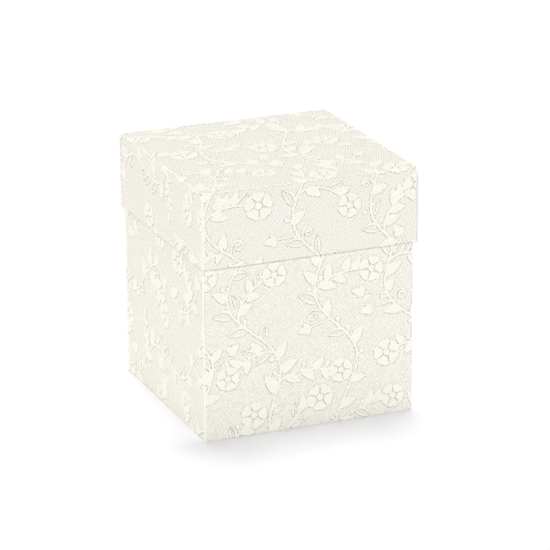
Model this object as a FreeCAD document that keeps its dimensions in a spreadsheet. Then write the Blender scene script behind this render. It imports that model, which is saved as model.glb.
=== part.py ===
import FreeCAD, Part
import os
import Sketcher

# Gift box of creased card: a square base tray and a lift-off lid.
# Millimetres, +Z up, origin at the middle of the base's underside, front towards -Y.

SIZES = [
    # The sheet of card, its folds and its glue
    ("board_thickness", 0.4),
    ("crease_radius", 0.6),        # outer radius of every fold
    ("glue_film", 0.05),
    # Outside of the base
    ("base_width", 100.0),
    ("base_depth", 100.0),
    ("base_height", 114.3),        # underside to rim
    # Lid: how it fits round the base and how far it comes down
    ("lid_height", 34.6),          # top face to lower edge
    ("lid_clearance", 0.45),       # mean gap each side between a lid tab and the base
    ("lid_left_gap", 0.1),         # the lid was pushed to the right, so it is nearly flush on the left
    ("lid_back_gap", 0.7),         # and a little towards the front
    # Glue tabs, measured from the outer face of the wall that carries them
    ("base_tab_length", 16.0),
    ("lid_tab_length", 14.0),
    ("tab_taper", 4.0),            # how much each end of a tab slants over its length
    ("tab_foot_gap", 0.05),        # from the top of the fold to the tab's end
    ("tab_rim_drop", 1.0),         # from the rim to the tab's other end
    ("glue_margin", 2.0),          # bare border of a tab round its glue
    # Corners of the outer walls rounded off beside the crease, so that the folds don't bind
    ("base_clip_length", 2.2),
    ("base_clip_height", 0.9),
    ("base_clip_radius", 3.0),
    ("lid_clip_length", 4.0),
    ("lid_clip_height", 3.9),
    ("lid_clip_radius", 4.1),
    ("cut_margin", 1.0),           # how far a cut runs past the card
]

doc = FreeCAD.newDocument("card_box")
sheet = doc.addObject("Spreadsheet::Sheet", "Sizes")
for row, (alias, size) in enumerate(SIZES, 1):
    sheet.set(f"A{row}", alias)
    sheet.set(f"B{row}", str(size))
    sheet.setAlias(f"B{row}", alias)
doc.recompute()

BOARD = "Sizes.board_thickness"
FOLD = "Sizes.crease_radius"
INNER_FOLD = f"({FOLD} - {BOARD})"
GLUE = "Sizes.glue_film"
TAB_STACK = f"({BOARD} + {GLUE})"
LID_ALLOWANCE = f"2 * (Sizes.lid_clearance + {TAB_STACK} + {BOARD})"
TAB_FOOT = f"({FOLD} + Sizes.tab_foot_gap)"
SIDE_ANGLES = {"front": 0, "right": 90, "back": 180, "left": 270}
nodes = []


def measure(expression):
    """The present value of an expression in the sheet's sizes."""
    return float(sheet.evalExpression(expression))


def new_body(label, placement, shift):
    """A body for one node, with its placement's base tied to the shift's expressions."""
    body = doc.addObject("PartDesign::Body", label)
    body.Label = label
    body.Placement = placement
    for axis, expression in zip("xyz", shift):
        body.setExpression(f"Placement.Base.{axis}", expression)
    nodes.append(body)
    return body


def new_sketch(body, name, plane, height="0"):
    """A sketch on one of the body's origin planes, lifted along the plane's normal."""
    sketch = body.newObject("Sketcher::SketchObject", name)
    support = next(item for item in body.Origin.OriginFeatures if item.Role == plane)
    sketch.AttachmentSupport = [(support, "")]
    sketch.MapMode = "FlatFace"
    sketch.setExpression("AttachmentOffset.Base.z", height)
    return sketch


def arc_through(start, end, radius, turn):
    """The shorter arc from start to end, its centre on the left (turn 1) or on the right (turn -1)."""
    chord = end - start
    middle = (start + end) * 0.5
    left = FreeCAD.Vector(-chord.y, chord.x, 0).normalize()
    centre = middle + left * (turn * max(radius ** 2 - (chord.Length / 2) ** 2, 0) ** 0.5)
    crown = centre + (middle - centre).normalize() * radius
    return Part.Arc(start, crown, end)


def draw_outline(sketch, corners, arcs=None):
    """A closed outline with its corners tied to expressions; arcs maps a side to its (radius, turn)."""
    arcs = arcs or {}
    points = [FreeCAD.Vector(measure(x), measure(y), 0) for x, y in corners]
    first = sketch.GeometryCount
    ends = []
    for side, start in enumerate(points):
        end = points[(side + 1) % len(points)]
        if side in arcs:
            radius, turn = arcs[side]
            edge = sketch.addGeometry(arc_through(start, end, measure(radius), turn))
            tie(sketch, f"radius_{edge}", radius, "Radius", edge)
        else:
            edge = sketch.addGeometry(Part.LineSegment(start, end))
        forwards = (sketch.getPoint(edge, 1) - start).Length < (sketch.getPoint(edge, 1) - end).Length
        ends.append((1, 2) if forwards else (2, 1))
    for side, (x, y) in enumerate(corners):
        edge = first + side
        before = (side - 1) % len(corners)
        corner = (edge, ends[side][0])
        sketch.addConstraint(Sketcher.Constraint("Coincident", first + before, ends[before][1], *corner))
        tie(sketch, f"across_{edge}", x, "DistanceX", -1, 1, *corner)
        tie(sketch, f"along_{edge}", y, "DistanceY", -1, 1, *corner)


def tie(sketch, name, expression, kind, *where):
    """A named dimension of the sketch, bound to the sheet."""
    constraint = sketch.addConstraint(Sketcher.Constraint(kind, *where, measure(expression)))
    sketch.renameConstraint(constraint, name)
    sketch.setExpression(f"Constraints.{name}", expression)


def pad(body, sketch, length, both_ways=False):
    feature = body.newObject("PartDesign::Pad", f"{sketch.Name}_pad")
    feature.Profile = sketch
    feature.setExpression("Length", length)
    feature.SideType = "Symmetric" if both_ways else "One side"
    return feature


def cut_through(body, sketch):
    """Cuts the sketch's outlines right through the body, both ways, and makes sure that card came away."""
    doc.recompute()
    before = body.Shape.Volume
    feature = body.newObject("PartDesign::Pocket", f"{sketch.Name}_cut")
    feature.Profile = sketch
    feature.Type = "ThroughAll"
    feature.SideType = "Symmetric"
    doc.recompute()
    if body.Shape.Volume >= before:
        raise RuntimeError(f"{body.Label}: the cut takes nothing away")


def flat_panel(label, width, depth, frame):
    """The panel inside a tray's four creases, one board thick, from z = 0 up."""
    body = new_body(label, *frame)
    sketch = new_sketch(body, f"{label}_outline", "XY_Plane")
    x = f"({width} / 2 - {FOLD})"
    y = f"({depth} / 2 - {FOLD})"
    draw_outline(sketch, [(f"-{x}", f"-{y}"), (x, f"-{y}"), (x, y), (f"-{x}", y)])
    pad(body, sketch, BOARD)
    return body


def folded_wall(label, reach, span, height, frame):
    """A wall that faces -Y, its outer face at reach, folded up from the flat panel and span long."""
    body = new_body(label, *frame)
    sketch = new_sketch(body, f"{label}_profile", "YZ_Plane")
    fold_start = f"-({reach} - {FOLD})"
    inner_face = f"-({reach} - {BOARD})"
    corners = [
        (fold_start, "0"),
        (fold_start, BOARD),
        (inner_face, FOLD),
        (inner_face, height),
        (f"-{reach}", height),
        (f"-{reach}", FOLD),
    ]
    draw_outline(sketch, corners, {1: (INNER_FOLD, -1), 5: (FOLD, 1)})
    pad(body, sketch, span, both_ways=True)
    return body


def clip_corners(body, name, span):
    """Rounds off the two corners beside the crease, by the tray's own clip sizes."""
    sketch = new_sketch(body, f"{body.Label}_clips", "XZ_Plane")
    height = f"Sizes.{name}_clip_height"
    for sign, turn in (("", 1), ("-", -1)):
        edge = f"{sign}({span} / 2)"
        outside = f"{sign}({span} / 2 + Sizes.cut_margin)"
        inside = f"{sign}({span} / 2 - Sizes.{name}_clip_length)"
        corners = [
            (inside, "0"),
            (edge, height),
            (outside, height),
            (outside, "-Sizes.cut_margin"),
            (inside, "-Sizes.cut_margin"),
        ]
        draw_outline(sketch, corners, {0: (f"Sizes.{name}_clip_radius", turn)})
    cut_through(body, sketch)


def glue_tab(label, sign, reach, half_span, height, length, frame):
    """A tab on the end of a wall that faces -Y, folded round the corner and back along the next wall."""
    body = new_body(label, *frame)
    profile = new_sketch(body, f"{label}_profile", "XY_Plane", TAB_FOOT)
    outer = f"{sign}({half_span} + {FOLD})"
    inner = f"{sign}({half_span} + {INNER_FOLD})"
    fold_end = f"-({reach} - {FOLD})"
    tip = f"-({reach} - {length})"
    corners = [
        (f"{sign}{half_span}", f"-{reach}"),
        (outer, fold_end),
        (outer, tip),
        (inner, tip),
        (inner, fold_end),
        (f"{sign}{half_span}", f"-({reach} - {BOARD})"),
    ]
    turn = -1 if sign else 1
    draw_outline(profile, corners, {0: (FOLD, turn), 4: (INNER_FOLD, -turn)})
    pad(body, profile, f"{height} - Sizes.tab_rim_drop - {TAB_FOOT}")
    taper = new_sketch(body, f"{label}_taper", "YZ_Plane")
    past_tip = f"-({reach} - {length} - Sizes.cut_margin)"
    rim = f"({height} - Sizes.tab_rim_drop)"
    for end, slant, past_end in (
        (TAB_FOOT, f"({TAB_FOOT} + Sizes.tab_taper)", f"({TAB_FOOT} - Sizes.cut_margin)"),
        (rim, f"({rim} - Sizes.tab_taper)", f"({rim} + Sizes.cut_margin)"),
    ):
        beyond = [(past_tip, slant), (past_tip, past_end), (fold_end, past_end)]
        draw_outline(taper, [(fold_end, end), (tip, slant)] + beyond)
    cut_through(body, taper)
    return body


def glue_films(label, reach, half_span, height, length, turned, frame):
    """Four films that fill the gap between the tabs and the outer walls, one in each corner."""
    body = new_body(label, *frame)
    end_gap = "(Sizes.tab_taper + Sizes.glue_margin)"
    sketch = new_sketch(body, f"{label}_films", "XY_Plane", f"{TAB_FOOT} + {end_gap}")
    tab_face = f"({half_span} + {FOLD})"
    wall_face = f"({half_span} + {FOLD} + {GLUE})"
    near = f"({reach} - {FOLD} - Sizes.glue_margin)"
    far = f"({reach} - {length} + Sizes.glue_margin)"
    for across in ("", "-"):
        for along in ("", "-"):
            xs = (f"{across}{tab_face}", f"{across}{wall_face}")
            ys = (f"{along}{near}", f"{along}{far}")
            corners = [(xs[0], ys[0]), (xs[1], ys[0]), (xs[1], ys[1]), (xs[0], ys[1])]
            draw_outline(sketch, [(y, x) for x, y in corners] if turned else corners)
    pad(body, sketch, f"{height} - Sizes.tab_rim_drop - {TAB_FOOT} - 2 * {end_gap}")
    return body


def folded_tray(name, wall_word, panel_word, size, tab_length, outer_sides, frame_of):
    """A flat panel with two outer walls, whose corners are clipped, and two walls that carry glue tabs."""
    width, depth, height = size
    flat_panel(f"{name}_{panel_word}", width, depth, frame_of("front"))
    for side in SIDE_ANGLES:
        facing_y = side in ("front", "back")
        reach = f"({depth} / 2)" if facing_y else f"({width} / 2)"
        full_span = width if facing_y else depth
        frame = frame_of(side)
        label = f"{name}_{side}_{wall_word}"
        if side in outer_sides:
            clip_corners(folded_wall(label, reach, full_span, height, frame), name, full_span)
            continue
        half_span = f"({full_span} / 2 - {TAB_STACK} - {FOLD})"
        folded_wall(label, reach, f"2 * {half_span}", height, frame)
        for sign in ("", "-"):
            glue_tab(tab_label(name, side, sign), sign, reach, half_span, height, tab_length, frame)
    tabs_face_y = "front" not in outer_sides
    across, along = (width, depth) if tabs_face_y else (depth, width)
    half_span = f"({across} / 2 - {TAB_STACK} - {FOLD})"
    label = f"{name}_corner_glue"
    reach = f"({along} / 2)"
    glue_films(label, reach, half_span, height, tab_length, not tabs_face_y, frame_of("front"))


def tab_label(name, side, sign):
    """Names a tab by its corner. The lid is a tray turned over, which swaps its left and right ends."""
    right_end = (sign == "") != (name == "lid")
    ends = {
        "front": ("left", "right"),
        "back": ("right", "left"),
        "left": ("back", "front"),
        "right": ("front", "back"),
    }
    other = ends[side][right_end]
    corner = (side, other) if side in ("front", "back") else (other, side)
    return f"{name}_tab_{corner[0]}_{corner[1]}"


def base_frame(side):
    turn = FreeCAD.Rotation(FreeCAD.Vector(0, 0, 1), SIDE_ANGLES[side])
    return FreeCAD.Placement(FreeCAD.Vector(), turn), ("0", "0", "0")


def lid_frame(side):
    """A tray turned over about Y, pushed to the right and forwards, that rests on the base's rim."""
    turn = FreeCAD.Rotation(FreeCAD.Vector(0, 0, 1), -SIDE_ANGLES[side])
    over = FreeCAD.Rotation(FreeCAD.Vector(0, 1, 0), 180)
    shift = (
        "Sizes.lid_clearance - Sizes.lid_left_gap",
        f"Sizes.lid_back_gap - Sizes.lid_clearance - {TAB_STACK}",
        f"Sizes.base_height + {BOARD}",
    )
    return FreeCAD.Placement(FreeCAD.Vector(), over.multiply(turn)), shift


base_size = ("Sizes.base_width", "Sizes.base_depth", "Sizes.base_height")
lid_width = f"(Sizes.base_width + {LID_ALLOWANCE})"
lid_depth = f"(Sizes.base_depth + {LID_ALLOWANCE})"
lid_size = (lid_width, lid_depth, "Sizes.lid_height")
folded_tray("base", "wall", "floor", base_size, "Sizes.base_tab_length", ("front", "back"), base_frame)
folded_tray("lid", "skirt", "top", lid_size, "Sizes.lid_tab_length", ("left", "right"), lid_frame)

doc.recompute()
for item in doc.Objects:
    if "Invalid" in item.State or "Error" in item.State:
        raise RuntimeError(f"{item.Label} failed: {item.State}")
for node in nodes:
    if node.Shape.isNull() or not node.Shape.isValid() or not node.Shape.Solids:
        raise RuntimeError(f"{node.Label} has no valid solid")

os.makedirs("parts", exist_ok=True)
for node in nodes:
    node.Shape.exportStep(f"parts/{node.Label}.step")
    print(f"{node.Label}: {len(node.Shape.Solids)} solid(s), {node.Shape.Volume:.2f} mm3")
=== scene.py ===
import bmesh
import bpy
import cmath
import math
import random
from mathutils import Matrix, Vector
from mathutils.geometry import delaunay_2d_cdt


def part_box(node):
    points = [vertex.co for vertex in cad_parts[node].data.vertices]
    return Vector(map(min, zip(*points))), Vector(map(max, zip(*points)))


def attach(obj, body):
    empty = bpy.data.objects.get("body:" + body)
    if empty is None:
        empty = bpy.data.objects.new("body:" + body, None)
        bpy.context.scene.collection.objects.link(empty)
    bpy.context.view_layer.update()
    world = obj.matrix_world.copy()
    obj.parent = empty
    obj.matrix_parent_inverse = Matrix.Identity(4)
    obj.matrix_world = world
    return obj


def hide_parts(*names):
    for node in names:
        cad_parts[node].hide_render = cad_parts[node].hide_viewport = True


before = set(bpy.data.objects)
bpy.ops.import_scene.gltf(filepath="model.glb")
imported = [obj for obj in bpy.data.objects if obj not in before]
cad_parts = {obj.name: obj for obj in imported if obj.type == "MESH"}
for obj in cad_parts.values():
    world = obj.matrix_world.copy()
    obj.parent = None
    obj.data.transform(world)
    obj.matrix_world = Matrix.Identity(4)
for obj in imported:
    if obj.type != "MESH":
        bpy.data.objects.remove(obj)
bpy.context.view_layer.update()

# The card's sizes are in millimetres, and become metres where a mesh or a material is made.
# The floor, the lamps and the camera are in metres.
MM = 0.001


def node_box(node):
    low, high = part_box(node)
    return low / MM, high / MM


floor_low, floor_high = node_box("base_floor")
_, wall_high = node_box("base_right_wall")
BOARD = floor_high.z - floor_low.z
FOLD = wall_high.x - floor_high.x              # outer radius of every crease
FOLD_ARC = FOLD * math.pi / 2
FOLD_STEPS = 5
CLIP_STEPS = 8                                 # along each rounded corner beside a crease

# The embossing: the ground is pressed in, and the motifs keep the sheet's face.
PRESS_DEPTH = 0.18
SLOPE = 0.4                                    # width of the slope round a motif
CREASE_LINE = 0.1                              # unpressed line round a flat panel, beside its creases
CREASE_SHARE = 0.5                             # share of a fold, from the flat panel, left unpressed
CUT_BORDER = 0.45                              # smooth border along the cut ends of the outer walls
RIM_WIDTH = 0.5                                # of the line of painted shade along a wall's free, cut edge, for the seam's shadow

# The trailing pattern, on the flat sheet. Angles are in radians, and pairs are the ends of a range.
PATTERN_SEED = 7
PATTERN_TILT = math.radians(14)
SIDES = (1, -1)
VINE_COLUMNS = range(-7, 8)
VINE_ROWS = range(-7, 7)
VINE_SPACING = 35.0
VINE_SWING = 8.5
HALF_WAVE = 34.0
WAVE_LAG = 1.1                                 # from each vine to the next
DRIFT_SWING = 3.4                              # of a slower wave that is added to the first
DRIFT_LENGTH = 21.0                            # along the vine, for each radian
DRIFT_LAG = 2.3
STEM_WIDTH = 1.0
STEM_ROOM = 0.4                                # radius of the discs that stand for a stem
TWIG_WIDTH = 0.8
TWIG_END = 0.62
MARGIN = 0.5                                   # free ground round most motifs

VINE_LEAF = 10.4                               # length of the longest leaf
VINE_LEAF_SHARES = (0.06, 0.3, 0.54, 0.8)
BRANCH_LEAF = 9.4
BRANCH_LEAF_SHARES = (0.2, 0.36, 0.52, 0.68, 0.84)
SMALL_LEAF = 7.0                               # a shorter leaf has no open core
LEAF_WIDTH = 0.48                              # share of its length
LEAF_KINDS = ((0.0, 0.0), (0.0, 0.0), (0.5, 0.0), (0.0, 0.5))     # vein and core, half of them plain
LEAF_ROOM = ((0.5, 0.36), (0.75, 0.3), (1.0, 0.1))      # discs: place along it, radius by its width
LEAF_MARGIN = 0.35
LEAF_LEAN = (0.72, 0.98)
LEAF_BOW = -0.09
LEAF_SPREAD = (0.92, 1.06)                     # by which leaves on one path differ in length
FIRST_LEAF = 1.05                              # share of the longest leaf at the start of a path
LEAF_TAPER = 0.3                               # what that share loses by the end

BRANCH_STARTS = ((0.2, 1), (0.68, -1))         # share of a vine's half wave, and side
BRANCH_SHIFT = (-0.06, 0.06)
BRANCH_REACH = (15, 19)
BRANCH_LEAN = 1.05
BRANCH_BEND = (0.4, 1.3)
BRANCH_MARGIN = 0.8
BRANCH_FOOT = 4                                # points of a branch that may lie close to its vine
BLOSSOM_RADIUS = (5.6, 7.0)

SPROUT_SHARES = (0.05, 0.95)                   # where small things may grow along a path
SHOOT_LEAN = (0.6, 1.1)
SHOOT_BEND = (-0.5, 0.5)
SPRIG_LENGTH = (12, 18)
SHOOT_LENGTH = (7, 12)
SHOOT_ROOM = {                                 # half width, where it begins, reach and size past the tip
    "sprig": (2.3, 3.2, 3.2, 1.9),
    "bud": (0.5, 1.7, 2.0, 3.0),
}
SPRIG_LEAF = 5.6
SPRIG_STEP = 2.4                               # length of shoot for each leaf
SPRIG_END = 1.2                                # steps from the last side leaf to the tip
TIP_MARGIN = -0.8                              # the last leaf may come close to its neighbours
BUD_LENGTH = 5.8
BUD_ROOM = 2.6
TENDRIL_SIZE = (2.3, 3.3)
TENDRIL_KNOB = 0.8
BERRY_LEAN = (0.7, 1.2)
BERRY_STALK = (2.8, 3.6)
BERRY_RADIUS = (0.95, 1.2)
EARLY_TENDRILS = 3                             # tries on each stem, as are the next four
LONG_SPRIGS = 5
SHORT_SHOOTS = 5
LATE_TENDRILS = 4
BERRIES = 5

polar = cmath.rect


# Motifs are loops of complex numbers: the real part runs across the sheet and the imaginary part along it.

def ribbon(path, start_width, end_width):
    """The outline of a stem of tapering width along a path."""
    left, right = [], []
    last = len(path) - 1
    for i, point in enumerate(path):
        ahead = path[min(i + 1, last)] - path[max(i - 1, 0)]
        aside = 1j * ahead / abs(ahead)
        half = (start_width + (end_width - start_width) * i / last) / 2
        left.append(point + aside * half)
        right.append(point - aside * half)
    return right + left[::-1]


def bezier(a, b, c, d, step=1.2, fewest=4):
    """Points along a curve from a to d, about a step apart."""
    count = max(fewest, int((abs(b - a) + abs(c - b) + abs(d - c)) / step))
    path = []
    for i in range(count + 1):
        t = i / count
        s = 1 - t
        path.append(a * s ** 3 + 3 * b * s * s * t + 3 * c * s * t * t + d * t ** 3)
    return path


def at(path, share):
    """The point at a share of a path, and the heading there."""
    i = min(max(int(share * (len(path) - 1)), 0), len(path) - 2)
    return path[i], cmath.phase(path[i + 1] - path[i])


def placed(loops, spot, heading):
    turn = polar(1, heading)
    return [[spot + point * turn for point in loop] for loop in loops]


def disc(radius, centre=0j, steps=10):
    return [centre + polar(radius, math.tau * i / steps) for i in range(steps)]


def leaf(length, width, bow, vein=0.0, core=0.0, steps=9):
    """A pointed leaf along +x. A vein, or an open core given as a share of the width, splits it in two
    halves that meet at the tip."""
    belly = 0.8                                # below 1, a leaf is widest nearer its stalk
    split_end = 0.86
    shares = [i / steps for i in range(1, steps)]
    split = [t for t in shares if t < split_end]

    def rib(t, offset):
        return length * (t + 4j * bow * t * (1 - t)) + 1j * offset

    def half(t):
        return width / 2 * math.sin(math.pi * t ** belly)

    def groove(t):
        return max(vein / 2 * (1 - t), core * half(t))

    upper = [rib(t, half(t)) for t in shares]
    lower = [rib(t, -half(t)) for t in shares]
    tip = complex(length)
    if not vein and not core:
        return [[0j] + lower + [tip] + upper[::-1]]
    above = [rib(t, groove(t)) for t in split]
    below = [rib(t, -groove(t)) for t in split]
    return [above + [tip] + upper[::-1], lower + [tip] + below[::-1]]


def blossom(radius, petals=5, steps=10):
    """An open flower: notched petals round a button."""
    fill = 0.95                                # share of its sector that a petal takes
    notch_depth, notch_width = 0.09, 0.28
    rounding = 0.16
    waist, inner, button = 0.6 * radius, 0.34 * radius, 0.23 * radius
    spread = math.pi / petals * fill
    waist_spread, inner_spread = 0.9 * spread, 0.66 * spread
    edge = []
    for i in range(steps + 1):
        side = 2 * i / steps - 1
        notch = notch_depth * math.exp(-(side / notch_width) ** 2)
        edge.append(polar(radius * (1 - rounding * side ** 4 - notch), spread * side))
    claw = [polar(waist, waist_spread), polar(inner, inner_spread)]
    petal = edge + claw + [point.conjugate() for point in reversed(claw)]
    loops = [[point * polar(1, math.tau * i / petals) for point in petal] for i in range(petals)]
    return loops + [disc(button)]


def bud(length):
    """A closed flower between two sepals."""
    sepal_length, sepal_width = 0.72 * length, 0.27 * length
    sepal_bow, sepal_lean = 0.14, 0.7
    width = 0.6 * length
    foot = complex(-0.1 * length)
    loops = leaf(length, width, 0.0)
    for side in SIDES:
        sepal = leaf(sepal_length, sepal_width, sepal_bow * side)
        loops += placed(sepal, foot, sepal_lean * side)
    return loops


def curl(size, hand, steps=26, lead_steps=4):
    """The path of a tendril that leaves along +x and curls up towards its hand's side, and its middle."""
    turns = 1.3
    tightening = 0.72                          # share of the radius that is lost by the end
    lead = 1.5 * size
    middle = complex(lead, hand * size)
    path = [complex(lead * i / lead_steps) for i in range(lead_steps)]
    for i in range(steps + 1):
        t = i / steps
        angle = hand * (turns * math.tau * t - math.pi / 2)
        path.append(middle + polar(size * (1 - tightening * t), angle))
    return path, middle


class Foliage:
    """The loops of the pattern, and discs that stand for the ground that they take."""

    CELL = 6.0                                 # discs are kept by the square cell of their centre
    NEAR = range(-2, 3)                        # cells round a disc's own that are searched

    def __init__(self):
        self.loops = []
        self.discs = {}

    def cell(self, point):
        return int(point.real // self.CELL), int(point.imag // self.CELL)

    def claim(self, discs):
        for centre, radius in discs:
            self.discs.setdefault(self.cell(centre), []).append((centre, radius))

    def is_free(self, discs, margin=MARGIN):
        for centre, radius in discs:
            column, row = self.cell(centre)
            for i in self.NEAR:
                for j in self.NEAR:
                    for other, size in self.discs.get((column + i, row + j), ()):
                        if abs(other - centre) < radius + size + margin:
                            return False
        return True

    def stem(self, path, start_width, end_width):
        self.loops.append(ribbon(path, start_width, end_width))
        self.claim([(point, STEM_ROOM) for point in path])

    def try_leaf(self, spot, heading, length, bow, vein=0.0, core=0.0, margin=LEAF_MARGIN):
        width = LEAF_WIDTH * length
        discs = [(spot + polar(length * t, heading), share * width) for t, share in LEAF_ROOM]
        if not self.is_free(discs, margin):
            return False
        self.loops += placed(leaf(length, width, bow, vein, core), spot, heading)
        self.claim(discs)
        return True

    def try_blossom(self, centre, radius, turn):
        if not self.is_free([(centre, radius)]):
            return False
        self.loops += placed(blossom(radius), centre, turn)
        self.claim([(centre, radius)])
        return True

    def leaves_along(self, path, rng, shares, longest, side):
        """Leaves on alternate sides of a path, or on the other side where the first has no room."""
        for share in shares:
            spot, heading = at(path, share)
            length = longest * (FIRST_LEAF - LEAF_TAPER * share) * rng.uniform(*LEAF_SPREAD)
            vein, core = rng.choice(LEAF_KINDS)
            if length < SMALL_LEAF:
                core = 0.0
            for turn in (side, -side):
                lean = turn * rng.uniform(*LEAF_LEAN)
                if self.try_leaf(spot, heading + lean, length, LEAF_BOW * turn, vein, core):
                    break
            side = -side


def vine_point(column, along):
    drift = DRIFT_SWING * math.sin(along / DRIFT_LENGTH + DRIFT_LAG * column)
    wave = VINE_SWING * math.sin(math.pi * along / HALF_WAVE + WAVE_LAG * column)
    return complex(column * VINE_SPACING + wave + drift, along)


def grow_vines(foliage):
    """Wavy stems that run along the sheet, one path for each half wave."""
    steps = 24
    overlap = 0.2
    paths = []
    for column in VINE_COLUMNS:
        for row in VINE_ROWS:
            start = row * HALF_WAVE - overlap
            length = HALF_WAVE + 2 * overlap
            path = [vine_point(column, start + length * i / steps) for i in range(steps + 1)]
            foliage.stem(path, STEM_WIDTH, STEM_WIDTH)
            paths.append(path)
    return paths


def grow_branches(foliage, vines, rng):
    """Branches that bow away from the vines and end in a blossom."""
    first_share, first_lean = 0.42, 0.35       # of the curve's first handle
    shoulder_share, end_share = 0.95, 0.45     # of the branch's reach
    blossom_share = 0.86                       # of its radius, from the branch's end to its middle
    branches = []
    for vine in vines:
        for share, side in BRANCH_STARTS:
            spot, heading = at(vine, share + rng.uniform(*BRANCH_SHIFT))
            reach = rng.uniform(*BRANCH_REACH)
            out = heading - BRANCH_LEAN * side
            first = spot + polar(first_share * reach, heading - first_lean * side)
            shoulder = spot + polar(shoulder_share * reach, out)
            end = shoulder + polar(end_share * reach, out - side * rng.uniform(*BRANCH_BEND))
            branch = bezier(spot, first, shoulder, end)
            radius = rng.uniform(*BLOSSOM_RADIUS)
            centre = end + polar(blossom_share * radius, at(branch, 1.0)[1])
            turn = rng.uniform(0, math.tau)
            room = [(point, STEM_ROOM) for point in branch[BRANCH_FOOT:]]
            if not foliage.is_free(room, BRANCH_MARGIN):
                continue
            if foliage.try_blossom(centre, radius, turn):
                foliage.stem(branch, STEM_WIDTH, TWIG_WIDTH)
                branches.append(branch)
    return branches


def sprout(path, rng, lean):
    """A place along a path for something small to grow, its side, and the way that it heads."""
    spot, heading = at(path, rng.uniform(*SPROUT_SHARES))
    side = rng.choice(SIDES)
    return spot, side, heading + side * rng.uniform(*lean)


def grow_tendril(foliage, path, rng):
    spot, _, way = sprout(path, rng, SHOOT_LEAN)
    size = rng.uniform(*TENDRIL_SIZE)
    tendril, middle = curl(size, rng.choice(SIDES))
    [tendril] = placed([tendril], spot, way)
    if foliage.is_free([(spot + middle * polar(1, way), size + MARGIN)]):
        foliage.stem(tendril, TWIG_WIDTH, TWIG_END)
        foliage.loops.append(disc(TENDRIL_KNOB, tendril[-1], steps=8))


def grow_shoot(foliage, path, rng, length, kind):
    """A shoot into ground that is still free, with leaves along it or a bud at its end."""
    first_share, second_share, second_bend = 0.35, 0.7, 0.4      # of the curve's handles
    spot, side, way = sprout(path, rng, SHOOT_LEAN)
    bend = side * rng.uniform(*SHOOT_BEND)
    first = spot + polar(first_share * length, way)
    second = spot + polar(second_share * length, way + second_bend * bend)
    end = spot + polar(length, way + bend)
    shoot = bezier(spot, first, second, end)
    tip_way = at(shoot, 1.0)[1]
    half_width, start, beyond, tip_size = SHOOT_ROOM[kind]
    room = [(point, half_width) for point in shoot if abs(point - spot) > start]
    room.append((end + polar(beyond, tip_way), tip_size))
    if not foliage.is_free(room):
        return
    foliage.stem(shoot, TWIG_WIDTH, TWIG_END)
    if kind == "sprig":
        count = int(length / SPRIG_STEP)
        shares = [(i + 1) / (count + SPRIG_END) for i in range(count)]
        foliage.leaves_along(shoot, rng, shares, SPRIG_LEAF, side)
        foliage.try_leaf(end, tip_way, SPRIG_LEAF, 0.0, margin=TIP_MARGIN)
    else:
        foliage.loops += placed(bud(BUD_LENGTH), end, tip_way)
        foliage.claim([(end + polar(BUD_ROOM, tip_way), BUD_ROOM)])


def grow_berry(foliage, path, rng):
    spot, _, way = sprout(path, rng, BERRY_LEAN)
    end = spot + polar(rng.uniform(*BERRY_STALK), way)
    radius = rng.uniform(*BERRY_RADIUS)
    if foliage.is_free([(end, radius)]):
        foliage.stem([spot, (spot + end) / 2, end], TWIG_WIDTH, TWIG_END)
        foliage.loops.append(disc(radius, end))
        foliage.claim([(end, radius)])


def grow_pattern():
    """The whole pattern: large motifs first, then several tries on every stem to fill the ground left."""
    foliage = Foliage()
    rng = random.Random(PATTERN_SEED)
    vines = grow_vines(foliage)
    branches = grow_branches(foliage, vines, rng)
    for path in vines:
        foliage.leaves_along(path, rng, VINE_LEAF_SHARES, VINE_LEAF, 1)
    for path in branches:
        foliage.leaves_along(path, rng, BRANCH_LEAF_SHARES, BRANCH_LEAF, -1)
    stems = vines + branches
    for path in stems * EARLY_TENDRILS:
        grow_tendril(foliage, path, rng)
    for path in stems * LONG_SPRIGS:
        grow_shoot(foliage, path, rng, rng.uniform(*SPRIG_LENGTH), "sprig")
    for path in stems * SHORT_SHOOTS:
        grow_shoot(foliage, path, rng, rng.uniform(*SHOOT_LENGTH), rng.choice(("sprig", "bud")))
    for path in stems * LATE_TENDRILS:
        grow_tendril(foliage, path, rng)
    for path in stems * BERRIES:
        grow_berry(foliage, path, rng)
    return foliage.loops


# Panels. A panel's own flat coordinates are complex too: along its crease, and away from the crease.

OUTWARD = {
    "front": Vector((0, -1, 0)),
    "back": Vector((0, 1, 0)),
    "left": Vector((-1, 0, 0)),
    "right": Vector((1, 0, 0)),
}
OVERHANG = 1.0                                 # how far a line across a wall is drawn past its ends


class Tray:
    """One folded sheet: where its flat panel lies, and which way its walls stand.
    The outer walls have rounded corners beside the crease: clip is their length, height and radius."""

    def __init__(self, name, panel, wall, up, outer_sides, clip, sheet_shift):
        low, high = node_box(f"{name}_{panel}")
        self.name = name
        self.panel = f"{name}_{panel}"
        self.wall = wall
        self.walls_up = Vector((0, 0, up))
        self.centre = (low + high) / 2
        self.centre.z = low.z if up > 0 else high.z
        self.half = Vector(((high.x - low.x) / 2, (high.y - low.y) / 2))
        self.outer_sides = outer_sides
        self.clip = clip
        self.across = Vector((1, 0, 0))
        self.along = Vector((0, -up, 0))
        self.sheet_shift = sheet_shift

    def loops_on_sheet(self, pattern):
        turn = polar(1, PATTERN_TILT)
        return [[(point + self.sheet_shift) * turn for point in loop] for loop in pattern]


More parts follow.
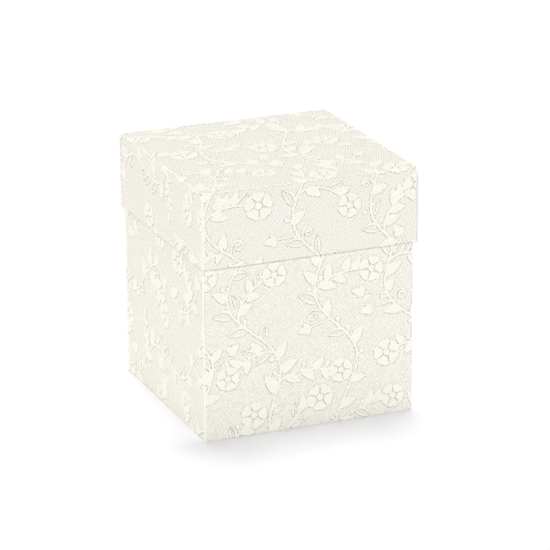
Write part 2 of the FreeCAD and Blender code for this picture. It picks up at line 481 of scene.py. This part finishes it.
class FlatPanel:
    """The panel inside a tray's four creases."""

    cross_lines = []

    def __init__(self, tray):
        self.tray = tray
        self.node = tray.panel
        x, y = tray.half
        self.region = [complex(-x, -y), complex(x, -y), complex(x, y), complex(-x, y)]
        sides = zip(self.region, self.region[1:] + self.region[:1])
        self.raised = [ribbon(side, CREASE_LINE, CREASE_LINE) for side in sides]

    def from_sheet(self, point):
        return point

    # A flat panel has no free edge, so no painted shade lies along it.
    def rim(self, point):
        return 0.0

    def fold(self, point, height):
        tray = self.tray
        flat = tray.centre + tray.across * point.real + tray.along * point.imag
        return flat - tray.walls_up * height


class Wall:
    """A wall folded up from a tray's flat panel, round a crease.
    Its cross lines are the steps of the fold and the foot of the rim's line of painted shade."""

    def __init__(self, tray, side):
        self.tray = tray
        self.node = f"{tray.name}_{side}_{tray.wall}"
        self.out = OUTWARD[side]
        self.run = tray.walls_up.cross(self.out)
        low, high = node_box(self.node)
        self.reach = tray.half.y if side in ("front", "back") else tray.half.x
        self.half_span = abs((high - low).dot(self.run)) / 2
        self.top = self.unrolled(high.z - low.z)
        self.cross_lines = [FOLD_ARC * i / FOLD_STEPS for i in range(1, FOLD_STEPS + 1)]
        self.cross_lines.append(self.top - RIM_WIDTH)
        self.sheet_run = complex(self.run.dot(tray.across), self.run.dot(tray.along))
        clipped = side in tray.outer_sides
        corner = self.clip_curve() if clipped else [complex(self.half_span)]
        right_end = corner + [complex(self.half_span, self.top)]
        left_end = [-point.conjugate() for point in right_end]
        self.region = right_end + left_end[::-1]
        crease = [complex(-self.half_span - OVERHANG), complex(self.half_span + OVERHANG)]
        band = 2 * CREASE_SHARE * FOLD_ARC
        border = 2 * CUT_BORDER
        self.raised = [ribbon(crease, band, band)]
        if clipped:
            self.raised += [ribbon(end, border, border) for end in (right_end, left_end)]

    def clip_curve(self):
        """The rounded corner: an arc as seen square on, from the crease to the cut end."""
        length, height, radius = self.tray.clip
        start = complex(self.half_span - length, 0)
        end = complex(self.half_span, height)
        chord = end - start
        rise = math.sqrt(radius ** 2 - abs(chord) ** 2 / 4)
        centre = (start + end) / 2 + 1j * chord / abs(chord) * rise
        first, last = cmath.phase(start - centre), cmath.phase(end - centre)
        curve = []
        for i in range(CLIP_STEPS + 1):
            point = centre + polar(radius, first + (last - first) * i / CLIP_STEPS)
            curve.append(complex(point.real, self.unrolled(max(point.imag, 0.0))))
        return curve

    @staticmethod
    def unrolled(height):
        """How far from the crease a point at a height lies once the fold is laid flat."""
        if height < FOLD:
            return FOLD * math.acos(1 - height / FOLD)
        return FOLD_ARC + height - FOLD

    def from_sheet(self, point):
        return point * self.sheet_run.conjugate() - 1j * self.reach

    def rim(self, point):
        """Painted shade for the seam's shadow: 1 on the wall's free edge, falling to 0 across the line
        beside it.
        """
        return max(0.0, 1 - (self.top - point.imag) / RIM_WIDTH)

    def fold(self, point, height):
        tray = self.tray
        angle = min(point.imag / FOLD, math.pi / 2)
        beyond = max(point.imag - FOLD_ARC, 0)
        normal = self.out * math.sin(angle) - tray.walls_up * math.cos(angle)
        pivot = tray.centre + self.run * point.real + self.out * self.reach + tray.walls_up * FOLD
        return pivot + tray.walls_up * beyond + normal * (FOLD + height)


def widened(loop, width):
    """An anticlockwise loop moved outwards by a width, along the bisector at each corner."""
    moved = []
    for i, point in enumerate(loop):
        before = point - loop[i - 1]
        after = loop[(i + 1) % len(loop)] - point
        before /= abs(before)
        after /= abs(after)
        turning = 1 if (before.conjugate() * after).imag > 0 else -1
        bisector = -1j * (before + after) + turning * (before - after)
        moved.append(point + bisector / abs(bisector) * width)
    return moved


def anticlockwise(loop):
    area = sum((loop[i - 1].conjugate() * point).imag for i, point in enumerate(loop))
    return loop if area > 0 else loop[::-1]


def reaches(loop, region):
    """Whether the boxes of a loop and of a panel's outline meet."""
    for part in ("real", "imag"):
        ours = [getattr(point, part) for point in loop]
        theirs = [getattr(point, part) for point in region]
        if max(ours) < min(theirs) or min(ours) > max(theirs):
            return False
    return True


def divided(points, edges, faces):
    """Triangles inside the faces that keep to the edges. Both are given by the numbers of their points."""
    inside_faces = 1
    weld = 1e-5                                # points nearer than this become one
    flat = [Vector((point.real, point.imag)) for point in points]
    return delaunay_2d_cdt(flat, edges, faces, inside_faces, weld, True)


def triangulate(panel, motifs):
    """Triangles of a panel's face that follow its outline, its cross lines and the motifs with their
    slopes. Gives the points, the triangles, and each point's level: 1 on the sheet's face and 0 on the
    pressed ground."""
    points, edges, faces = [], [], []

    def add_loop(loop, as_face):
        first = len(points)
        points.extend(loop)
        ring = [first + i for i in range(len(loop))]
        if as_face:
            faces.append(ring)
        else:
            edges.extend(zip(ring, ring[1:] + ring[:1]))

    add_loop(panel.region, True)
    for height in panel.cross_lines:
        end = panel.half_span + OVERHANG
        edges.append((len(points), len(points) + 1))
        points.extend([complex(-end, height), complex(end, height)])
    for motif in motifs:
        add_loop(motif, True)
        add_loop(widened(motif, SLOPE), False)
    corners, _, triangles, _, _, owners = divided(points, edges, faces)
    kept, raised = [], set()
    for triangle, inside in zip(triangles, owners):
        if 0 not in inside:
            continue
        kept.append(triangle)
        if len(inside) > 1:
            raised.update(triangle)
    spots = [complex(corner.x, corner.y) for corner in corners]
    levels = [1.0 if i in raised else 0.0 for i in range(len(spots))]
    return spots, kept, levels


def edge_of(triangles):
    """The corners along the edge of the triangles, in order."""
    sides = set()
    for triangle in triangles:
        for i in range(3):
            sides.add((triangle[i - 1], triangle[i]))
    after = {a: b for a, b in sides if (b, a) not in sides}
    ring = [min(after)]
    while after[ring[-1]] != ring[0]:
        ring.append(after[ring[-1]])
    return ring


def back_triangles(panel, spots, ring):
    """Triangles of a panel's plain back, which uses only the corners along its edge."""
    near = 1e-3                                # corners this close to a cross line's height are its ends
    edges = []
    for height in panel.cross_lines:
        level = [k for k, i in enumerate(ring) if abs(spots[i].imag - height) < near]
        level.sort(key=lambda k: spots[ring[k]].real)
        edges.append((level[0], level[-1]))
    outline = [list(range(len(ring)))]
    _, _, triangles, sources, _, owners = divided([spots[i] for i in ring], edges, outline)
    return [[sources[i][0] for i in triangle] for triangle, inside in zip(triangles, owners) if inside]


def embossed_panel(panel, pattern, face_material, back_material):
    """A closed piece of board for a panel, with the pattern embossed on its outer face."""
    motifs = list(panel.raised)
    for loop in pattern:
        motif = [panel.from_sheet(point) for point in loop]
        if reaches(motif, panel.region):
            motifs.append(motif)
    spots, triangles, levels = triangulate(panel, [anticlockwise(motif) for motif in motifs])
    ring = edge_of(triangles)
    mesh = bpy.data.meshes.new(f"{panel.node}_card")
    shape = bmesh.new()
    level_layer = shape.verts.layers.float.new("level")
    rim_shade_layer = shape.verts.layers.float.new("rim")
    used = sorted({i for triangle in triangles for i in triangle})
    front = {}
    for i in used:
        front[i] = shape.verts.new(panel.fold(spots[i], (levels[i] - 1) * PRESS_DEPTH) * MM)
        front[i][level_layer] = levels[i]
        front[i][rim_shade_layer] = panel.rim(spots[i])
    back = [shape.verts.new(panel.fold(spots[i], -BOARD) * MM) for i in ring]
    for triangle in triangles:
        shape.faces.new([front[i] for i in triangle])
    for triangle in back_triangles(panel, spots, ring):
        shape.faces.new([back[i] for i in reversed(triangle)]).material_index = 1
    for k, i in enumerate(ring):
        ahead = (k + 1) % len(ring)
        side = [front[ring[ahead]], front[i], back[k], back[ahead]]
        shape.faces.new(side).material_index = 1
    bmesh.ops.recalc_face_normals(shape, faces=shape.faces)
    shape.to_mesh(mesh)
    shape.free()
    mesh.materials.append(face_material)
    mesh.materials.append(back_material)
    piece = bpy.data.objects.new(f"{panel.node}_card", mesh)
    bpy.context.collection.objects.link(piece)
    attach(piece, panel.tray.name)
    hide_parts(panel.node)


# Materials. The scale of a noise is the number of its cells in a metre.

# The ground runs from GROUND_DARK, painted shade in the linen's hollows, to GROUND_LIGHT on its threads.
GROUND_LIGHT = (0.947, 0.913, 0.848, 1)
GROUND_DARK = (0.741, 0.722, 0.657, 1)
MOTIF_LIGHT = (0.985, 0.962, 0.882, 1)
MOTIF_DARK = (0.825, 0.8, 0.718, 1)
# The colour of the painted shade round a motif's foot and along a wall's free edge.
PAINTED_SHADE_COLOUR = (0.28, 0.265, 0.235, 1)
BACK_LIGHT = (0.965, 0.945, 0.895, 1)
BACK_DARK = (0.86, 0.84, 0.785, 1)
GLUE_LIGHT = (0.88, 0.85, 0.76, 1)
GLUE_DARK = (0.78, 0.74, 0.62, 1)
FIBRE_SCALE = 1500.0
FIBRE_ROUGHNESS = 0.6
RIM_SHADE = 0.34                               # how much of the painted shade's colour lies on a free edge, for the seam's shadow
FOOT_SHADE_GAIN = 6.7                                # brings the painted shade round a motif's foot to about 1
# Both sets of linen threads: threads in each mm along X, Y and Z, and depth, which is more on level faces,
# where the weave's painted shade and bump are made stronger for how light falls on the top.
THREAD_SETS = (
    ((0.826, -0.398, 0.546), 0.24),
    ((0.45, 0.845, -0.504), 0.16),
)
LEVEL_FACE_BOOST = 2                               # times a set's depth that a level face adds to its painted shade and bump
WANDER_SCALE = 500.0
WANDER_TURN = 5.0                              # radians by which threads wander from their straight line


class Nodes:
    """Short ways to add the nodes of one material."""

    def __init__(self, name):
        self.material = bpy.data.materials.new(name)
        self.material.use_nodes = True
        self.tree = self.material.node_tree
        self.shader = self.tree.nodes["Principled BSDF"]

    def add(self, kind, **settings):
        node = self.tree.nodes.new(kind)
        for name, value in settings.items():
            setattr(node, name, value)
        return node

    def link(self, source, target):
        self.tree.links.new(source, target)

    def feed(self, socket, value):
        if isinstance(value, bpy.types.NodeSocket):
            self.link(value, socket)
        else:
            socket.default_value = value

    def surface(self, name, value):
        self.feed(self.shader.inputs[name], value)

    def place(self):
        return self.add("ShaderNodeTexCoord").outputs["Object"]

    def attribute(self, name):
        return self.add("ShaderNodeAttribute", attribute_name=name).outputs["Fac"]

    def rise(self):
        """1 on faces that look up, -1 on faces that look down, and 0 on upright ones."""
        parts = self.add("ShaderNodeSeparateXYZ")
        self.link(self.add("ShaderNodeNewGeometry").outputs["True Normal"], parts.inputs[0])
        return parts.outputs["Z"]

    def math(self, operation, a, b=0.0, c=0.0, clamp=False):
        node = self.add("ShaderNodeMath", operation=operation, use_clamp=clamp)
        for socket, value in zip(node.inputs, (a, b, c)):
            self.feed(socket, value)
        return node.outputs[0]

    def times(self, a, b):
        return self.math("MULTIPLY", a, b)

    def scaled(self, value, gain, offset, clamp=False):
        return self.math("MULTIPLY_ADD", value, gain, offset, clamp)

    def noise(self, vector, scale, detail=2.0, roughness=0.5):
        node = self.add("ShaderNodeTexNoise")
        self.link(vector, node.inputs["Vector"])
        node.inputs["Scale"].default_value = scale
        node.inputs["Detail"].default_value = detail
        node.inputs["Roughness"].default_value = roughness
        return node.outputs["Fac"]

    def mix(self, factor, a, b):
        node = self.add("ShaderNodeMix", data_type="RGBA")
        self.feed(node.inputs["Factor"], factor)
        self.feed(node.inputs["A"], a)
        self.feed(node.inputs["B"], b)
        return node.outputs["Result"]

    def bump(self, height, strength, distance):
        node = self.add("ShaderNodeBump")
        node.inputs["Strength"].default_value = strength
        node.inputs["Distance"].default_value = distance
        self.link(height, node.inputs["Height"])
        self.surface("Normal", node.outputs["Normal"])


def linen(nodes, place, rise):
    """A fine linen grain, about 0 in its hollows and 1 on its threads. In colour, its hollows are painted
    shade of the weave.
    Both sets of threads lie askew on every face."""
    wander = nodes.times(nodes.noise(place, WANDER_SCALE), WANDER_TURN)
    level_face = nodes.math("ABSOLUTE", rise)
    threads = 0.5
    for counts, depth in THREAD_SETS:
        across = nodes.add("ShaderNodeVectorMath", operation="DOT_PRODUCT")
        nodes.link(place, across.inputs[0])
        across.inputs[1].default_value = [math.tau * count / MM for count in counts]
        turns = nodes.math("ADD", across.outputs["Value"], wander)
        depth_here = nodes.scaled(level_face, gain=LEVEL_FACE_BOOST * depth, offset=depth)
        threads = nodes.scaled(nodes.math("SINE", turns), gain=depth_here, offset=threads)
    return threads


def painted_shade_from_above(nodes, rise):
    """How much of the painted foot shade a slope gets, as if lit from above: more than 1 on slopes that
    look down, less on slopes that look up, and 1 on level and upright faces."""
    tilt = nodes.math("SUBTRACT", 1.0, nodes.times(rise, rise))
    return nodes.scaled(nodes.times(rise, tilt), gain=-2.0, offset=1.0)


def embossed_card():
    """White card: a matt linen ground, and smooth cream motifs with a broken dark line of painted shade
    round their foot, and painted shade along a wall's free edge.
    """
    nodes = Nodes("embossed_card")
    place = nodes.place()
    rise = nodes.rise()
    level = nodes.attribute("level")
    pressed = nodes.math("SUBTRACT", 1.0, level)
    fibre = nodes.noise(place, FIBRE_SCALE, roughness=FIBRE_ROUGHNESS)
    speckle = nodes.scaled(fibre, gain=3.2, offset=-1.6)
    grain_and_weave_shade = nodes.math("ADD", linen(nodes, place, rise), speckle, clamp=True)
    ground = nodes.mix(grain_and_weave_shade, GROUND_DARK, GROUND_LIGHT)
    smooth = nodes.scaled(fibre, gain=2.4, offset=-0.7, clamp=True)
    motif = nodes.mix(smooth, MOTIF_DARK, MOTIF_LIGHT)
    colour = nodes.mix(level, ground, motif)
    # Painted shade: a dark line at the foot of each motif's slope, broken by the grain.
    foot = nodes.times(level, nodes.times(pressed, pressed))
    dashes = nodes.scaled(grain_and_weave_shade, gain=-0.9, offset=1.15)
    foot_shade = nodes.times(nodes.times(foot, FOOT_SHADE_GAIN), dashes)
    # Painted shade along a wall's free edge, standing in for the shadow of the seam between lid and base.
    rim = nodes.times(nodes.attribute("rim"), RIM_SHADE)
    # The foot's painted shade is heavier on slopes that look down, as if lit from above.
    shade = nodes.scaled(foot_shade, gain=painted_shade_from_above(nodes, rise), offset=rim, clamp=True)
    nodes.surface("Base Color", nodes.mix(shade, colour, PAINTED_SHADE_COLOUR))
    nodes.surface("Roughness", nodes.scaled(pressed, gain=0.25, offset=0.6))
    nodes.surface("Specular IOR Level", 0.2)
    nodes.bump(nodes.times(grain_and_weave_shade, pressed), strength=0.6, distance=0.08 * MM)
    return nodes.material


def plain_card():
    """The plain back of the board and its cut edges."""
    nodes = Nodes("plain_card")
    place = nodes.place()
    fibre = nodes.noise(place, FIBRE_SCALE, detail=4.0, roughness=FIBRE_ROUGHNESS)
    cloud = nodes.noise(place, scale=60.0, detail=3.0)
    fibre_share, cloud_share = 0.6, 0.4
    shade = nodes.scaled(fibre, gain=fibre_share, offset=nodes.times(cloud, cloud_share))
    nodes.surface("Base Color", nodes.mix(shade, BACK_DARK, BACK_LIGHT))
    nodes.surface("Roughness", 0.85)
    nodes.surface("Specular IOR Level", 0.25)
    nodes.bump(fibre, strength=0.4, distance=0.03 * MM)
    return nodes.material


def dried_glue():
    nodes = Nodes("dried_glue")
    blotch = nodes.noise(nodes.place(), scale=300.0, detail=3.0)
    nodes.surface("Base Color", nodes.mix(blotch, GLUE_DARK, GLUE_LIGHT))
    nodes.surface("Roughness", 0.35)
    return nodes.material


# The box

card_face = embossed_card()
card_back = plain_card()
glue = dried_glue()
pattern = grow_pattern()
trays = [
    Tray("base", panel="floor", wall="wall", up=1, outer_sides=("front", "back"),
         clip=(2.2, 0.9, 3.0), sheet_shift=0j),
    Tray("lid", panel="top", wall="skirt", up=-1, outer_sides=("left", "right"),
         clip=(4.0, 3.9, 4.1), sheet_shift=complex(17, 9)),
]
for tray in trays:
    sheet_loops = tray.loops_on_sheet(pattern)
    for panel in [FlatPanel(tray)] + [Wall(tray, side) for side in OUTWARD]:
        embossed_panel(panel, sheet_loops, card_face, card_back)
for name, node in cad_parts.items():
    if "_tab_" in name or name.endswith("_glue"):
        node.data.materials.clear()
        node.data.materials.append(glue if name.endswith("_glue") else card_back)


# Floor, light and camera

FLOOR_COLOUR = (0.915, 0.922, 0.955, 1)
FLOOR_HALF = 4.0
FLOOR_GAP = 0.05 * MM                          # keeps the floor's face apart from the box's underside
FLOOR_LIFT = 0.06                              # what the floor adds to be white where it is seen
LIFT_COLOUR = (1, 0.97, 0.88, 1)
WHITE = (1, 1, 1, 1)
SKY_COLOUR = (0.95, 0.975, 1, 1)
SKY_LEVEL = 0.15
LAMP_COLOUR = (1, 0.995, 0.985)
LEFT_LAMP_COLOUR = (1, 0.985, 0.93)
CAMERA_AZIMUTH = -22.26                        # degrees, as are the rise and the roll
CAMERA_RISE = 18.84
CAMERA_ROLL = -0.39
CAMERA_DISTANCE = 1.410
CAMERA_PIVOT = Vector((0, 0, 0.057))
AIM_BESIDE, AIM_ABOVE = 0.00393, -0.00153      # where the camera aims, from the pivot
FOCAL_LENGTH = 3105.3                          # in pixels, as is the frame's width
FRAME_WIDTH = 550
SENSOR_WIDTH = 36.0                            # in millimetres
CLIP_START = 0.05


def direction(azimuth, rise):
    """The way to an azimuth, in degrees from the front towards the right, and a rise above the floor."""
    turn, lift = math.radians(azimuth), math.radians(rise)
    return Vector((math.sin(turn) * math.cos(lift), -math.cos(turn) * math.cos(lift), math.sin(lift)))


def seen_rays(tree):
    """1 for rays that show a thing, straight, mirrored or through glass, and 0 for rays that only
    light others."""
    rays = tree.nodes.new("ShaderNodeLightPath").outputs
    seen = rays["Is Camera Ray"]
    for kind in ("Is Glossy Ray", "Is Transmission Ray"):
        either = tree.nodes.new("ShaderNodeMath")
        either.operation = "MAXIMUM"
        tree.links.new(seen, either.inputs[0])
        tree.links.new(rays[kind], either.inputs[1])
        seen = either.outputs[0]
    return seen


def stage_floor():
    mesh = bpy.data.meshes.new("floor")
    corners = [(x * FLOOR_HALF, y * FLOOR_HALF, 0) for x, y in ((-1, -1), (1, -1), (1, 1), (-1, 1))]
    mesh.from_pydata(corners, [], [(0, 1, 2, 3)])
    floor = bpy.data.objects.new("floor", mesh)
    floor.location.z = -FLOOR_GAP
    bpy.context.collection.objects.link(floor)
    nodes = Nodes("white_floor")
    tree = nodes.tree
    tree.nodes.remove(nodes.shader)
    output = tree.nodes["Material Output"]
    paper = nodes.add("ShaderNodeBsdfDiffuse")
    paper.inputs["Color"].default_value = FLOOR_COLOUR
    lift = nodes.add("ShaderNodeEmission")
    lift.inputs["Color"].default_value = LIFT_COLOUR
    nodes.link(nodes.times(seen_rays(tree), FLOOR_LIFT), lift.inputs["Strength"])
    both = nodes.add("ShaderNodeAddShader")
    nodes.link(paper.outputs[0], both.inputs[0])
    nodes.link(lift.outputs[0], both.inputs[1])
    nodes.link(both.outputs[0], output.inputs["Surface"])
    mesh.materials.append(nodes.material)


def stage_world():
    """A faint sky that lights the box evenly, and is plain white where it is seen."""
    world = bpy.data.worlds.new("studio")
    bpy.context.scene.world = world
    world.use_nodes = True
    nodes = world.node_tree.nodes
    link = world.node_tree.links.new
    sky = nodes["Background"]
    sky.inputs["Color"].default_value = SKY_COLOUR
    sky.inputs["Strength"].default_value = SKY_LEVEL
    white = nodes.new("ShaderNodeBackground")
    white.inputs["Color"].default_value = WHITE
    shown = nodes.new("ShaderNodeMixShader")
    link(seen_rays(world.node_tree), shown.inputs[0])
    link(sky.outputs[0], shown.inputs[1])
    link(white.outputs[0], shown.inputs[2])
    link(shown.outputs[0], nodes["World Output"].inputs["Surface"])


def stage_sun(name, azimuth, rise, spread, level, colour=LAMP_COLOUR):
    """A soft distant lamp. Its level is what a white card facing it would show."""
    away = direction(azimuth, rise)
    light = bpy.data.lights.new(name, "SUN")
    light.angle = math.radians(spread)
    light.energy = level * math.pi
    light.color = colour
    lamp = bpy.data.objects.new(name, light)
    lamp.location = away
    lamp.rotation_euler = away.to_track_quat("Z", "Y").to_euler()
    bpy.context.collection.objects.link(lamp)


def stage_camera():
    sight = bpy.data.cameras.new("camera")
    sight.sensor_width = SENSOR_WIDTH
    sight.lens = SENSOR_WIDTH * (FOCAL_LENGTH / FRAME_WIDTH)
    sight.clip_start = CLIP_START
    camera = bpy.data.objects.new("camera", sight)
    place = CAMERA_PIVOT + direction(CAMERA_AZIMUTH, CAMERA_RISE) * CAMERA_DISTANCE
    beside = direction(CAMERA_AZIMUTH + 90, 0)
    aim = CAMERA_PIVOT + beside * AIM_BESIDE + Vector((0, 0, AIM_ABOVE))
    look = (aim - place).to_track_quat("-Z", "Y").to_matrix().to_4x4()
    roll = Matrix.Rotation(math.radians(CAMERA_ROLL), 4, "Z")
    camera.matrix_world = Matrix.Translation(place) @ look @ roll
    bpy.context.collection.objects.link(camera)
    bpy.context.scene.camera = camera


stage_floor()
stage_world()
stage_sun("top", azimuth=163, rise=78, spread=26, level=0.58)
stage_sun("front_high", azimuth=-22, rise=29.5, spread=4, level=0.42)
stage_sun("front", azimuth=-20, rise=20, spread=20, level=0.2)
stage_sun("left", azimuth=-95, rise=3, spread=8, level=0.29, colour=LEFT_LAMP_COLOUR)
stage_sun("right", azimuth=95, rise=3, spread=8, level=0.4)
stage_sun("back", azimuth=175, rise=3, spread=8, level=0.33)
stage_camera()
bpy.context.scene.view_settings.view_transform = "Standard"
